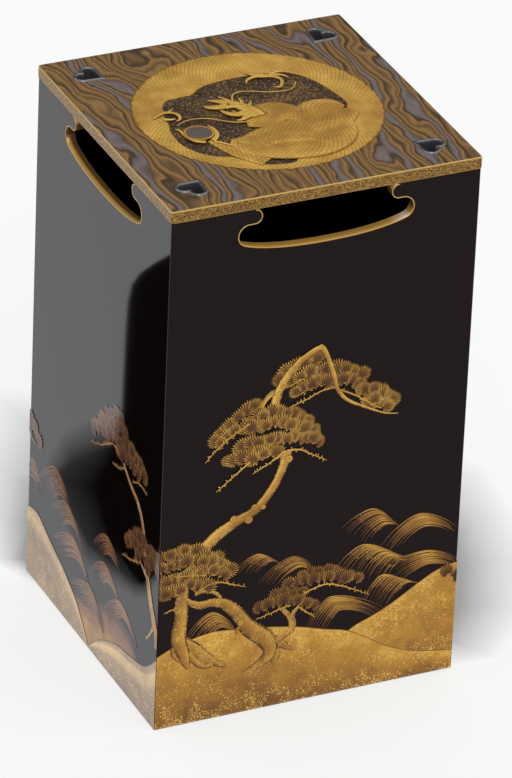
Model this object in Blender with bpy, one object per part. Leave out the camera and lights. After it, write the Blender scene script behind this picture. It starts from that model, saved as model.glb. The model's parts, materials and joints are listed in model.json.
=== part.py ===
"""Tall square lacquered box with a lift-off top board.

The box is hollow and empty. A cusped hand opening is cut in the top of each of its four walls, and
the board lies over them. Four heart-shaped eyelets line the heart holes in the board's corners.
The origin is the centre of the underside, +Z is up and -Y is the front. All sizes are in metres.
"""

import math

import bmesh
import bpy
from mathutils import Matrix, Vector

# Box
BOX_SIDE = 0.170
BOX_HEIGHT = 0.296
WALL_THICKNESS = 0.0052
BASE_THICKNESS = 0.0065
BOX_CORNER_RADIUS = 0.0009
BOX_INNER_CORNER_RADIUS = 0.0015
BOX_FOOT_CHAMFER = 0.0004

# Top board
BOARD_THICKNESS = 0.0068
BOARD_OVERHANG = 0.0004
BOARD_CORNER_RADIUS = 0.0014
BOARD_CHAMFER = 0.00035
BOARD_SEAT_GAP = 0.0003

# Locating field under the board, which drops inside the walls
FIELD_DEPTH = 0.0030
FIELD_CLEARANCE = 0.0007
FIELD_CORNER_RADIUS = 0.0012

# Hand openings
HAND_WIDTH = 0.0962
LUG_RADIUS = 0.0041
LOBE_RADIUS = 0.0058
NOTCH_RUN = 0.0027
LIP_SAG = 0.0052
LIP_ANGLE = math.radians(19.0)

# Heart holes and their eyelets
HEART_WIDTH = 0.0158
HEART_INSET = 0.0208
EYELET_CLEARANCE = 0.0003
EYELET_WALL = 0.0006
EYELET_RIM_WIDTH = 0.0012
EYELET_RIM_HEIGHT = 0.0006
EYELET_RIM_CHAMFER = 0.0002

# Proportions of a heart, as shares of its width
HEART_LOBE_SHARE = 0.262
HEART_TIP_SHARE = 0.65

# Facets
CORNER_SEGMENTS = 4
LUG_SEGMENTS = 12
LOBE_SEGMENTS = 12
LIP_SEGMENTS = 10
HEART_LOBE_SEGMENTS = 12
HEART_NOTCH_SEGMENTS = 4
HEART_TIP_SEGMENTS = 3

CUTTER_MARGIN = 0.010
BOARD_UNDERSIDE = BOX_HEIGHT + BOARD_SEAT_GAP
BOARD_TOP = BOARD_UNDERSIDE + BOARD_THICKNESS

LACQUER = (0.012, 0.010, 0.010)
GILT_WOOD = (0.33, 0.22, 0.075)
SILVER = (0.40, 0.40, 0.41)


def clear_scene():
    for item in list(bpy.data.objects):
        bpy.data.objects.remove(item, do_unlink=True)


def make_material(name, colour, roughness, metallic):
    material = bpy.data.materials.new(name)
    material.use_nodes = True
    shader = material.node_tree.nodes["Principled BSDF"]
    shader.inputs["Base Color"].default_value = (*colour, 1.0)
    shader.inputs["Roughness"].default_value = roughness
    shader.inputs["Metallic"].default_value = metallic
    return material


def arc(centre, radius, start, end, segments):
    """Points on a circle from the angle start to the angle end, both included."""
    points = []
    for step in range(segments + 1):
        angle = start + (end - start) * step / segments
        points.append((centre[0] + radius * math.cos(angle), centre[1] + radius * math.sin(angle)))
    return points


def rounded_square(half, radius):
    """Closed outline of a square with round corners, anticlockwise."""
    points = []
    for quarter in range(4):
        start = quarter * math.pi / 2
        inner = half - radius
        centre_x = inner * (1 if quarter in (0, 3) else -1)
        centre_y = inner * (1 if quarter in (0, 1) else -1)
        points += arc((centre_x, centre_y), radius, start, start + math.pi / 2, CORNER_SEGMENTS)
    return points


def loft(name, rings, material):
    """One closed mesh through outlines that all have the same number of points."""
    mesh = bpy.data.meshes.new(name)
    model = bmesh.new()
    loops = [[model.verts.new((x, y, z)) for x, y in outline] for outline, z in rings]
    for lower, upper in zip(loops, loops[1:]):
        for index, vertex in enumerate(lower):
            following = (index + 1) % len(lower)
            model.faces.new((vertex, lower[following], upper[following], upper[index]))
    model.faces.new(reversed(loops[0]))
    model.faces.new(loops[-1])
    bmesh.ops.recalc_face_normals(model, faces=model.faces)
    model.to_mesh(mesh)
    model.free()
    if material:
        mesh.materials.append(material)
    item = bpy.data.objects.new(name, mesh)
    bpy.context.scene.collection.objects.link(item)
    return item


def prism(name, outline, bottom, top, material=None):
    return loft(name, [(outline, bottom), (outline, top)], material)


def as_guide(item):
    """Keeps a tool body out of the model and out of sight."""
    item.hide_render = True
    item.display_type = "WIRE"
    return item


def combine(item, tool, operation):
    modifier = item.modifiers.new(f"{operation.lower()}_{tool.name}", "BOOLEAN")
    modifier.operation = operation
    modifier.solver = "EXACT"
    modifier.object = tool


def half_hand_outline():
    """Right half of a hand opening, from the wall's top edge to the middle of the lip.

    Heights are measured downwards from the wall's top edge. The rounded lug comes first, then the
    short run under it, the lobe, and the shallow lip, which is a parabola tangent to the lobe.
    """
    lobe_x = HAND_WIDTH / 2 - LOBE_RADIUS
    lobe_y = 2 * LUG_RADIUS + LOBE_RADIUS
    lug_x = lobe_x - NOTCH_RUN
    lug = arc((lug_x, LUG_RADIUS), LUG_RADIUS, -math.pi / 2, -3 * math.pi / 2, LUG_SEGMENTS)
    lobe = arc((lobe_x, lobe_y), LOBE_RADIUS, -math.pi / 2, math.pi / 2 - LIP_ANGLE, LOBE_SEGMENTS)
    join_x, join_y = lobe[-1]
    bottom = join_y + LIP_SAG
    control_x = join_x - LIP_SAG / math.tan(LIP_ANGLE)
    lip = []
    for step in range(1, LIP_SEGMENTS + 1):
        t = step / LIP_SEGMENTS
        x = (1 - t) ** 2 * join_x + 2 * t * (1 - t) * control_x
        y = (1 - t) ** 2 * join_y + 2 * t * (1 - t) * bottom + t * t * bottom
        lip.append((x, y))
    return lug + lobe + lip


def hand_cutter(name, turn):
    """Bar with the section of the hand openings, through two opposite walls."""
    half = half_hand_outline()
    above = [(half[0][0], -CUTTER_MARGIN)]
    right = above + half
    left = [(-x, y) for x, y in reversed(right[:-1])]
    outline = [(x, BOX_HEIGHT - y) for x, y in right + left]
    reach = BOX_SIDE / 2 + CUTTER_MARGIN
    cutter = as_guide(prism(name, outline, -reach, reach))
    upright = Matrix.Rotation(math.pi / 2, 4, "X")
    cutter.matrix_world = Matrix.Rotation(turn, 4, "Z") @ upright
    return cutter


def make_box():
    outer = BOX_SIDE / 2
    inner = outer - WALL_THICKNESS
    sole = outer - BOX_FOOT_CHAMFER
    rings = [
        (rounded_square(sole, BOX_CORNER_RADIUS), 0.0),
        (rounded_square(outer, BOX_CORNER_RADIUS), BOX_FOOT_CHAMFER),
        (rounded_square(outer, BOX_CORNER_RADIUS), BOX_HEIGHT),
        (rounded_square(inner, BOX_INNER_CORNER_RADIUS), BOX_HEIGHT),
        (rounded_square(inner, BOX_INNER_CORNER_RADIUS), BASE_THICKNESS),
    ]
    box = loft("box", rings, make_material("black_lacquer", LACQUER, 0.12, 0.0))
    combine(box, hand_cutter("hand_cutter_front_back", 0.0), "DIFFERENCE")
    combine(box, hand_cutter("hand_cutter_sides", math.pi / 2), "DIFFERENCE")
    return box


def half_heart(offset):
    """Right half of a heart from the notch to the tip, grown (or shrunk) by an offset.

    The lobes are two circles centred on y = 0 and the sides are their tangents from the tip. A
    grown heart turns round its tip, and a shrunk one turns round its notch.
    """
    radius = HEART_LOBE_SHARE * HEART_WIDTH
    centre_x = HEART_WIDTH / 2 - radius
    tip_depth = HEART_TIP_SHARE * HEART_WIDTH
    notch_y = math.sqrt(radius ** 2 - centre_x ** 2)
    slope = math.atan2(centre_x, tip_depth) + math.asin(radius / math.hypot(centre_x, tip_depth))
    grown = radius + offset
    points = []
    if offset < 0:
        turn = math.atan2(notch_y, -centre_x)
        around_notch = arc((0.0, notch_y), -offset, -math.pi / 2, turn - math.pi, HEART_NOTCH_SEGMENTS)
        points += around_notch[:-1]
    else:
        turn = math.pi - math.acos(centre_x / grown)
    points += arc((centre_x, 0.0), grown, turn, -slope, HEART_LOBE_SEGMENTS)
    if offset > 0:
        points += arc((0.0, -tip_depth), offset, -slope, -math.pi / 2, HEART_TIP_SEGMENTS)
    else:
        points.append((0.0, -tip_depth - offset / math.sin(slope)))
    return points


def heart_outline(offset=0.0):
    """Whole heart about the middle of its height, with its tip towards -Y."""
    right = half_heart(offset)
    left = [(-x, y) for x, y in reversed(right[1:-1])]
    middle = (HEART_LOBE_SHARE - HEART_TIP_SHARE) * HEART_WIDTH / 2
    return [(x, y - middle) for x, y in reversed(right + left)]


def heart_places():
    """Centre and turn of each heart: the tips point to the middle of the board."""
    reach = BOX_SIDE / 2 + BOARD_OVERHANG - HEART_INSET
    places = {}
    for depth_name, depth_sign in (("front", -1), ("back", 1)):
        for side_name, side_sign in (("left", -1), ("right", 1)):
            centre = Vector((side_sign * reach, depth_sign * reach, 0.0))
            turn = math.atan2(depth_sign, side_sign) - math.pi / 2
            places[f"{depth_name}_{side_name}"] = (centre, turn)
    return places


def set_place(item, centre, turn):
    item.location = centre
    item.rotation_euler = (0.0, 0.0, turn)


def make_board():
    edge = BOX_SIDE / 2 + BOARD_OVERHANG
    field = BOX_SIDE / 2 - WALL_THICKNESS - FIELD_CLEARANCE
    eased = edge - BOARD_CHAMFER
    rings = [
        (rounded_square(field, FIELD_CORNER_RADIUS), BOARD_UNDERSIDE - FIELD_DEPTH),
        (rounded_square(field, FIELD_CORNER_RADIUS), BOARD_UNDERSIDE),
        (rounded_square(eased, BOARD_CORNER_RADIUS), BOARD_UNDERSIDE),
        (rounded_square(edge, BOARD_CORNER_RADIUS), BOARD_UNDERSIDE + BOARD_CHAMFER),
        (rounded_square(edge, BOARD_CORNER_RADIUS), BOARD_TOP - BOARD_CHAMFER),
        (rounded_square(eased, BOARD_CORNER_RADIUS), BOARD_TOP),
    ]
    board = loft("top_board", rings, make_material("gilt_wood_grain", GILT_WOOD, 0.35, 0.5))
    low = BOARD_UNDERSIDE - FIELD_DEPTH - CUTTER_MARGIN
    high = BOARD_TOP + CUTTER_MARGIN
    for place, (centre, turn) in heart_places().items():
        cutter = as_guide(prism(f"heart_cutter_{place}", heart_outline(), low, high))
        set_place(cutter, centre, turn)
        combine(board, cutter, "DIFFERENCE")
    return board


def make_eyelet(place, centre, turn, material):
    """Heart-shaped liner of one hole: a sleeve with a flat rim that lies over the board."""
    rim_bottom = BOARD_TOP + EYELET_CLEARANCE
    rim_top = rim_bottom + EYELET_RIM_HEIGHT
    sleeve_bottom = BOARD_UNDERSIDE - FIELD_DEPTH
    rings = [
        (heart_outline(EYELET_RIM_WIDTH), rim_bottom),
        (heart_outline(EYELET_RIM_WIDTH), rim_top - EYELET_RIM_CHAMFER),
        (heart_outline(EYELET_RIM_WIDTH - EYELET_RIM_CHAMFER), rim_top),
    ]
    eyelet = loft(f"heart_eyelet_{place}", rings, material)
    bore = heart_outline(-EYELET_CLEARANCE - EYELET_WALL)
    sleeve = prism(
        f"sleeve_guide_{place}",
        heart_outline(-EYELET_CLEARANCE),
        sleeve_bottom,
        (rim_bottom + rim_top) / 2,
    )
    hollow = prism(
        f"hollow_cutter_{place}", bore, sleeve_bottom - CUTTER_MARGIN, rim_top + CUTTER_MARGIN
    )
    combine(eyelet, as_guide(sleeve), "UNION")
    combine(eyelet, as_guide(hollow), "DIFFERENCE")
    for item in (eyelet, sleeve, hollow):
        set_place(item, centre, turn)
    return eyelet


def main():
    clear_scene()
    make_box()
    make_board()
    silver = make_material("tarnished_silver", SILVER, 0.32, 1.0)
    for place, (centre, turn) in heart_places().items():
        make_eyelet(place, centre, turn, silver)


main()
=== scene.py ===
import json
import math
import random

import bpy
from mathutils import Matrix, Vector

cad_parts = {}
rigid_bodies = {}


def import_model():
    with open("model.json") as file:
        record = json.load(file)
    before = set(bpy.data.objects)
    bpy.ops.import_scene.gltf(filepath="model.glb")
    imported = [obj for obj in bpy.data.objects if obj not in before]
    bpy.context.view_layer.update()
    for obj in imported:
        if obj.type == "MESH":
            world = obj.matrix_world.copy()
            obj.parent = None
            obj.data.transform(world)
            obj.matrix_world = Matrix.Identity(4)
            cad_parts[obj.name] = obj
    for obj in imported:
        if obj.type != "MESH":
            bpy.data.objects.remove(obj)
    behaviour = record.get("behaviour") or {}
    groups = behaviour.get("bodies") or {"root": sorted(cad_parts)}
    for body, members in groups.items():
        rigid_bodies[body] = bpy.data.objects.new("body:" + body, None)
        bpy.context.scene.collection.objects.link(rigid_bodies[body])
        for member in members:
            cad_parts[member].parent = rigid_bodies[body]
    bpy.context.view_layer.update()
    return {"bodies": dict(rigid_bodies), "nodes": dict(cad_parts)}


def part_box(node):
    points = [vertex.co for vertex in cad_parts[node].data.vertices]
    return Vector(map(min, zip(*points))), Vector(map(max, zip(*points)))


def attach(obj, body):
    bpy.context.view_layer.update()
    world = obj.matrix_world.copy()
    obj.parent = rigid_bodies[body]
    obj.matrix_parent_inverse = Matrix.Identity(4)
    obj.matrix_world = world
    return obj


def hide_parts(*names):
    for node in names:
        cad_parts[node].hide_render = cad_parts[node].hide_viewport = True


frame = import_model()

mm = 0.001
bodyName = next(iter(frame["bodies"]))

# Camera, floor and light

cameraSettings = {
    "place": (-1.2874, -2.6899, 1.8404),
    "aim": (0.0036, -0.0042, 0.1417),
    "roll": 2.49,
    "lens": 305.7,
    "film": 36,
}

lightSettings = {
    "world": (0.93, 0.935, 0.94),
    "floor": (0.3, 0.3, 0.3),
    "floorGlow": (0.645, 0.648, 0.643),
    "floorReach": 9,
    "keyPlace": (-0.7, -2.3, 2.4),
    "keyAim": (0, 0, 0.15),
    "keySize": 1.4,
    "keyPower": 26,
    "cardReach": 3,
    "cardGap": 0.0865,
    "cardHeight": 0.0004,
    "floorCard": (0.33, 0.24, 0.24),
    "sideCard": (0.8, 0.81, 0.83),
    "backPlace": [(-1.6, 2.4, 0.25), (3.6, 2.4, 0.25), (3.6, 2.4, 4.4), (-1.6, 2.4, 4.4)],
    "backCard": (0.1, 0.095, 0.09),
    "shadeHeight": 0.0008,
    "shadeTone": (0.004, 0.001, 0),
    "shadeCore": (118, 112),
    "shadeTail": 0.84,
    "shadeOutline": [
        (190, 290, 0.5, 0), (170, 279, 0.5, 0), (151, 264, 0.5, 0), (134, 249.5, 0.5, 0),
        (124.5, 238, 0.7, 0), (120.5, 226, 0.8, 0), (119, 200, 2, 0), (118, 157, 3, 0),
        (110, 143, 9, 0.1), (75, 118, 13, 0.45), (52, 100, 13, 0.6), (33, 78, 12, 0.62),
        (54, 66, 13, 0.62), (80, 57, 12, 0.5), (105, 62, 9, 0.3), (140, 69, 7, 0.1), (151, 75, 6, 0),
        (165, 90, 4, 0), (170, 110, 1.6, 0), (190, 120, 1.6, 0),
    ],
    "shadowHeight": 0.0006,
    "shadowStrength": 0.62,
    "shadowTone": (0.03, 0.03, 0.03),
    "shadowRows": [
        (92, -58, 102, -70, 112, -86), (116, -32, 132, -38, 152, -46), (134, 5, 152, 4, 176, 0),
        (144, 32, 162, 42, 187, 46), (140, 60, 164, 74, 194, 96), (110, 120, 120, 150, 150, 190),
        (40, 150, 45, 190, 60, 250), (-20, 175, -24, 222, -28, 272), (-48, 160, -54, 180, -70, 204),
        (-66, 128, -76, 136, -94, 148), (-83, 96, -90, 99, -101, 103), (-60, 60, -80, 60, -84, 60),
        (0, 0, 0, -30, 0, -60), (70, -50, 80, -70, 84, -84),
    ],
}


def setInput(tree, socket, value):
    if isinstance(value, bpy.types.NodeSocket):
        tree.links.new(value, socket)
    elif isinstance(value, tuple) and len(value) < len(socket.default_value):
        socket.default_value = (*value, 1.0)
    else:
        socket.default_value = value


def addNode(tree, kind, inputs=None, **settings):
    made = tree.nodes.new("ShaderNode" + kind)
    for name, value in settings.items():
        setattr(made, name, value)
    for name, value in (inputs or {}).items():
        setInput(tree, made.inputs[name], value)
    return made


def addMath(tree, operation, first, second=0.0, third=0.0, clamp=False):
    inputs = {0: first, 1: second, 2: third}
    return addNode(tree, "Math", inputs, operation=operation, use_clamp=clamp).outputs[0]


def times(tree, first, second):
    return addMath(tree, "MULTIPLY", first, second)


def addBlend(tree, factor, low, high):
    return addMath(tree, "MULTIPLY_ADD", factor, high - low, low)


def addMix(tree, factor, first, second):
    return addNode(tree, "Mix", {0: factor, 6: first, 7: second}, data_type="RGBA").outputs[2]


def addRamp(tree, value, stops):
    made = addNode(tree, "ValToRGB", {"Fac": value})
    ramp = made.color_ramp
    while len(ramp.elements) < len(stops):
        ramp.elements.new(0.5)
    for element, (place, colour) in zip(ramp.elements, stops):
        element.position = place
        element.color = (*colour, 1.0)
    return made.outputs["Color"]


def addRange(tree, value, low, high, least=0.0, most=1.0):
    inputs = {"Value": value, "From Min": low, "From Max": high, "To Min": least, "To Max": most}
    return addNode(tree, "MapRange", inputs).outputs["Result"]


def addNoise(tree, place, scale, detail, roughness=0.5):
    inputs = {"Vector": place, "Scale": scale, "Detail": detail, "Roughness": roughness}
    return addNode(tree, "TexNoise", inputs).outputs["Fac"]


def addParts(tree, vector):
    return addNode(tree, "SeparateXYZ", {"Vector": vector}).outputs


def addBump(tree, height, strength, distance):
    inputs = {"Strength": strength, "Distance": distance, "Height": height}
    return addNode(tree, "Bump", inputs).outputs["Normal"]


def objectPlace(tree):
    return addNode(tree, "TexCoord").outputs["Object"]


def facetNormal(tree):
    return addParts(tree, addNode(tree, "NewGeometry").outputs["True Normal"])


def pointValue(tree, label):
    return addNode(tree, "Attribute", attribute_name=label).outputs["Fac"]


def openGroup(name, inputs):
    tree = bpy.data.node_groups.new(name, "ShaderNodeTree")
    for label, value in inputs.items():
        socket = tree.interface.new_socket(name=label, in_out="INPUT", socket_type="NodeSocketFloat")
        socket.default_value = value
    return tree, tree.nodes.new("NodeGroupInput").outputs


def closeGroup(tree, outputs):
    for label in outputs:
        tree.interface.new_socket(name=label, in_out="OUTPUT", socket_type="NodeSocketFloat")
    leave = tree.nodes.new("NodeGroupOutput")
    for label, value in outputs.items():
        tree.links.new(value, leave.inputs[label])
    return tree


def placeGroup(tree, group, **inputs):
    return addNode(tree, "Group", inputs, node_tree=group).outputs


def newMaterial(name):
    material = bpy.data.materials.new(name)
    material.use_nodes = True
    tree = material.node_tree
    return material, tree, tree.nodes["Principled BSDF"]


def feed(shader, **values):
    for name, value in values.items():
        setInput(shader.id_data, shader.inputs[name.replace("_", " ")], value)


def link(item):
    bpy.context.scene.collection.objects.link(item)
    return item


def makeMesh(name, verts, faces, material, smooth=False):
    mesh = bpy.data.meshes.new(name)
    mesh.from_pydata([tuple(point) for point in verts], [], faces)
    mesh.validate()
    if smooth:
        mesh.shade_smooth()
    mesh.materials.append(material)
    return link(bpy.data.objects.new(name, mesh))


def markPoints(item, label, values):
    item.data.attributes.new(label, "FLOAT", "POINT").data.foreach_set("value", values)


def joinRows(faces, rows, turned=False):
    # quads between neighbouring rows of points
    for one, other in zip(rows, rows[1:]):
        for k in range(len(one) - 1):
            quad = (one[k], other[k], other[k + 1], one[k + 1])
            faces.append(quad[::-1] if turned else quad)


def lookFrom(place, aim):
    place = Vector(place)
    turn = (Vector(aim) - place).to_track_quat("-Z", "Y")
    return Matrix.Translation(place) @ turn.to_matrix().to_4x4()


def makeCamera(values):
    data = bpy.data.cameras.new("photoCamera")
    data.sensor_width = values["film"]
    data.lens = values["lens"]
    item = link(bpy.data.objects.new("photoCamera", data))
    roll = Matrix.Rotation(math.radians(values["roll"]), 4, "Z")
    item.matrix_world = lookFrom(values["place"], values["aim"]) @ roll
    bpy.context.scene.camera = item


def makeKey(values):
    data = bpy.data.lights.new("keyLight", "AREA")
    data.shape = "DISK"
    data.size = values["keySize"]
    data.energy = values["keyPower"]
    item = link(bpy.data.objects.new("keyLight", data))
    item.matrix_world = lookFrom(values["keyPlace"], values["keyAim"])


def flatTone(name, tone, faded=False):
    material, tree, shader = newMaterial(name)
    feed(shader, Base_Color=(0.0, 0.0, 0.0), Emission_Color=tone, Emission_Strength=1.0)
    feed(shader, Specular_IOR_Level=0.0)
    if faded:
        feed(shader, Alpha=pointValue(tree, "strength"))
    return material


def stageShape(item, camera=False, gloss=True):
    # a studio shape that lights nothing and is seen by the camera or in gloss alone
    item.visible_camera = camera
    item.visible_glossy = gloss
    item.visible_diffuse = False
    item.visible_shadow = False
    item.visible_transmission = False


def makeFaded(name, verts, strength, tone):
    # closed shape of three rings, from its full middle to its clear outer edge
    middle = range(0, len(verts), 3)
    faces = [tuple(middle)]
    rows = [(k, k + 1, k + 2) for k in middle]
    joinRows(faces, [*rows, rows[0]])
    item = makeMesh(name, verts, faces, flatTone(name + "Black", tone, True))
    markPoints(item, "strength", strength)
    return item


def floorSpot(u, v):
    # where the camera sees this spot of the floor mirrored in the left face of the box
    low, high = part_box("box")
    y, z = high.y - u * mm, v * mm
    eye = Vector(cameraSettings["place"])
    eye.x = 2 * low.x - eye.x
    share = eye.z / (eye.z - z)
    return eye.x + (low.x - eye.x) * share, eye.y + (y - eye.y) * share


def makeShade(values):
    # the dark stand beside the box that the photo shows mirrored in its left face
    rows = values["shadeOutline"]
    coreU, coreV = values["shadeCore"]
    verts, strength = [], []
    for index, (u, v, soft, tail) in enumerate(rows):
        before, after = rows[index - 1], rows[(index + 1) % len(rows)]
        du, dv = after[0] - before[0], after[1] - before[1]
        reach = math.hypot(du, dv)
        outU, outV = -dv / reach, du / reach
        if (u - coreU) * outU + (v - coreV) * outV < 0:
            outU, outV = -outU, -outV
        innerU, innerV = u - outU * soft * 0.4, v - outV * soft * 0.4
        for spot, weight in (
                ((innerU + (coreU - innerU) * tail, innerV + (coreV - innerV) * tail), 1.0),
                ((innerU, innerV), values["shadeTail"] if tail else 1.0),
                ((u + outU * soft, v + outV * soft), 0.0)):
            verts.append((*floorSpot(*spot), values["shadeHeight"]))
            strength.append(weight)
    stageShape(makeFaded("leftShade", verts, strength, values["shadeTone"]))


def makeShadow(values):
    # the soft shadow that the photo shows beside and behind the base
    verts, strength = [], []
    for row in values["shadowRows"]:
        for k, weight in ((0, 1.0), (2, 0.5), (4, 0.0)):
            verts.append((row[k] * mm, row[k + 1] * mm, values["shadowHeight"]))
            strength.append(weight * values["shadowStrength"])
    stageShape(makeFaded("floorShadow", verts, strength, values["shadowTone"]), True, False)


def makeCards(values):
    # grey studio cards on the floor and at the back, which only the gloss of the lacquer sees
    gap, reach, height = values["cardGap"], values["cardReach"], values["cardHeight"]
    dim = [(-reach, -reach, reach, -gap), (gap, -gap, reach, reach), (-gap, gap, gap, reach)]
    pale = [(-reach, -gap, -gap, reach)]
    flat = [
        [(x, y, height) for left, near, right, far in strips
         for x, y in ((left, near), (right, near), (right, far), (left, far))]
        for strips in (dim, pale)]
    for name, verts in zip(("floorCard", "sideCard", "backCard"), (*flat, values["backPlace"])):
        faces = [tuple(range(k, k + 4)) for k in range(0, len(verts), 4)]
        stageShape(makeMesh(name, verts, faces, flatTone(name + "Grey", values[name])))


def makeStudio(values):
    scene = bpy.context.scene
    scene.view_settings.view_transform = "Standard"
    world = bpy.data.worlds.new("studio")
    scene.world = world
    world.use_nodes = True
    world.node_tree.nodes["Background"].inputs["Color"].default_value = (*values["world"], 1.0)
    material, tree, shader = newMaterial("paperFloor")
    feed(shader, Base_Color=values["floor"], Roughness=0.9, Specular_IOR_Level=0.1)
    feed(shader, Emission_Color=values["floorGlow"], Emission_Strength=1.0)
    reach = values["floorReach"]
    verts = [(-reach, -reach, 0), (reach, -reach, 0), (reach, reach, 0), (-reach, reach, 0)]
    makeMesh("floor", verts, [(0, 1, 2, 3)], material)
    makeKey(values)
    makeCards(values)
    makeShade(values)
    makeShadow(values)


makeCamera(cameraSettings)
makeStudio(lightSettings)
print("stage: camera, floor and lights")

# Shared shader effects


def makeDustGroup():
    # loose gold flakes: share of the ground they cover, and how big one is in millimetres
    tree, entry = openGroup("goldDust", {"Density": 0.5, "Grain": 0.8})
    pitch = addMath(tree, "DIVIDE", 1000.0, entry["Grain"])
    cells = addNode(tree, "TexVoronoi", {"Vector": objectPlace(tree), "Scale": pitch}).outputs
    pick = addNode(tree, "SeparateColor", {"Color": cells["Color"]}).outputs
    chosen = addMath(tree, "LESS_THAN", pick[0], entry["Density"])
    edge = addRange(tree, cells["Distance"], 0.62, 0.46)
    return closeGroup(tree, {"Mask": times(tree, chosen, edge), "Tone": pick[1]})


def makeScaleGroup():
    # diamond lattice over lengths measured along and across a body, in millimetres
    tree, entry = openGroup("bodyScales", {"Along": 0.0, "Across": 0.0, "Pitch": 2.0})
    waves = []
    for sign in ("ADD", "SUBTRACT"):
        summed = addMath(tree, sign, entry["Along"], entry["Across"])
        angle = times(tree, addMath(tree, "DIVIDE", summed, entry["Pitch"]), math.pi)
        waves.append(addMath(tree, "ABSOLUTE", addMath(tree, "SINE", angle)))
    return closeGroup(tree, {"Mask": addRange(tree, addMath(tree, "MINIMUM", *waves), 0.06, 0.32)})


dustGroup = makeDustGroup()
scaleGroup = makeScaleGroup()
print("stage: shared shader groups")

# Lacquer and gold

lacquerSettings = {
    "colour": (0.0022, 0.0018, 0.0017),
    "roughness": 0.035,
    "swirlHeight": 1e-05,
}
goldSettings = {
    "black": (0.0022, 0.0018, 0.0017),
    "brown": (0.06, 0.024, 0.006),
    "dull": (0.25, 0.11, 0.016),
    "gold": (0.53, 0.276, 0.03),
    "bright": (0.84, 0.53, 0.095),
    "flake": (0.9, 0.58, 0.12),
    "fleck": (0.22, 0.095, 0.018),
    "metallic": 0.3,
    "roughness": 0.5,
    "sheen": 0.5,
    "coat": 1,
    "coatRoughness": 0.05,
    "cloudScale": 95,
    "broadScale": 26,
    "drift": 2.1,
    "gatherScale": 75,
    "flecked": 0.4,
    "glint": (0.1, 0.95),
    "bumpHeight": 0.00012,
}
# paler copy of the ground gold for the left face's mounds: painted reflection of the bright floor
paleReflectionSettings = {
    **goldSettings,
    "dull": (0.225, 0.132, 0.056),
    "gold": (0.44, 0.278, 0.12),
    "bright": (0.76, 0.5, 0.18),
    "flake": (0.88, 0.6, 0.22),
    "fleck": (0.18, 0.11, 0.055),
}
# darker, redder and less glossy copy of the gold for the left face's trees and hills: painted shade
shadedLeafSettings = {
    **goldSettings,
    "dull": (0.25, 0.092, 0.014),
    "brown": (0.07, 0.022, 0.007),
    "sheen": 0.12,
}


def makeLacquer(values):
    material, tree, shader = newMaterial("blackLacquer")
    wave = addNoise(tree, objectPlace(tree), 9.0, 1.0)
    feed(shader, Base_Color=values["colour"], Roughness=values["roughness"])
    feed(shader, Normal=addBump(tree, wave, 0.12, values["swirlHeight"]))
    return material


def makeGold(name, values, grain, scaled=False):
    # one gold for a drawing: its points carry a shade and how thickly flakes lie there
    material, tree, shader = newMaterial(name)
    shade = pointValue(tree, "shade")
    dust = pointValue(tree, "dust")
    place = objectPlace(tree)
    cloud = addNoise(tree, place, values["cloudScale"], 4.0, 0.65)
    broad = addNoise(tree, place, values["broadScale"], 2.0)
    both = addMath(tree, "MULTIPLY_ADD", broad, 0.9, cloud)
    drift = addMath(tree, "MULTIPLY_ADD", both, 0.34, -0.323)
    shift = times(tree, drift, addMath(tree, "MINIMUM", shade, 0.6))
    tone = addMath(tree, "ADD", shade, times(tree, shift, values["drift"]))
    if scaled:
        lengths = {"Along": pointValue(tree, "along"), "Across": pointValue(tree, "across")}
        scales = placeGroup(tree, scaleGroup, **lengths, Pitch=grain * 4.0)
        tone = times(tree, tone, addBlend(tree, scales["Mask"], 0.68, 1.03))
    stops = (("black", 0.0), ("brown", 0.22), ("dull", 0.52), ("gold", 0.80), ("bright", 1.0))
    colour = addRamp(tree, tone, [(stop, values[label]) for label, stop in stops])
    gather = addNoise(tree, place, values["gatherScale"], 3.0, 0.7)
    gather = addRange(tree, gather, 0.46, 0.58, 0.05, 1.0)
    flakes = placeGroup(tree, dustGroup, Density=times(tree, dust, gather), Grain=grain)
    dark = placeGroup(tree, dustGroup, Density=times(tree, dust, 0.34), Grain=grain * 1.3)
    colour = addMix(tree, times(tree, dark["Mask"], values["flecked"]), colour, values["fleck"])
    glint = times(tree, flakes["Mask"], addBlend(tree, flakes["Tone"], *values["glint"]))
    feed(shader, Base_Color=addMix(tree, glint, colour, values["flake"]))
    feed(shader, Metallic=times(tree, addMath(tree, "MINIMUM", shade, 0.7), values["metallic"] / 0.7))
    feed(shader, Roughness=values["roughness"])
    feed(shader, Specular_IOR_Level=addMath(tree, "MULTIPLY", shade, values["sheen"], clamp=True))
    feed(shader, Coat_Weight=values["coat"], Coat_Roughness=values["coatRoughness"])
    height = addMath(tree, "ADD", flakes["Mask"], cloud)
    feed(shader, Normal=addBump(tree, height, 0.25, values["bumpHeight"]))
    return material


blackLacquer = makeLacquer(lacquerSettings)
fineGold = makeGold("fineGold", goldSettings, 0.45)
groundGold = makeGold("groundGold", goldSettings, 0.66)
scaledGold = makeGold("scaledGold", goldSettings, 0.75, True)
shadedLeafGold = makeGold("shadedLeafGold", shadedLeafSettings, 0.45)
paleReflectionGold = makeGold("paleReflectionGold", paleReflectionSettings, 0.66)
print("stage: lacquer and gold")

# Drawing tools: each drawing is a thin raised picture on one face of the box, in millimetres

sideSize = (170.0, 296.0)
topSize = (170.8, 170.8)
pointLabels = ("shade", "dust", "along", "across")


def newSheet(size=sideSize):
    return {"size": size, "verts": [], "marks": [], "faces": []}


def addPoint(sheet, u, v, lift, *marks):
    # marks are the point's values in the order of pointLabels, with none for those left out
    width, height = sheet["size"]
    sheet["verts"].append((min(max(u, 0.03), width - 0.03), min(max(v, 0.45), height - 0.2), lift))
    sheet["marks"].append((*marks, 0.0, 0.0, 0.0)[:4])
    return len(sheet["verts"]) - 1


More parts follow.
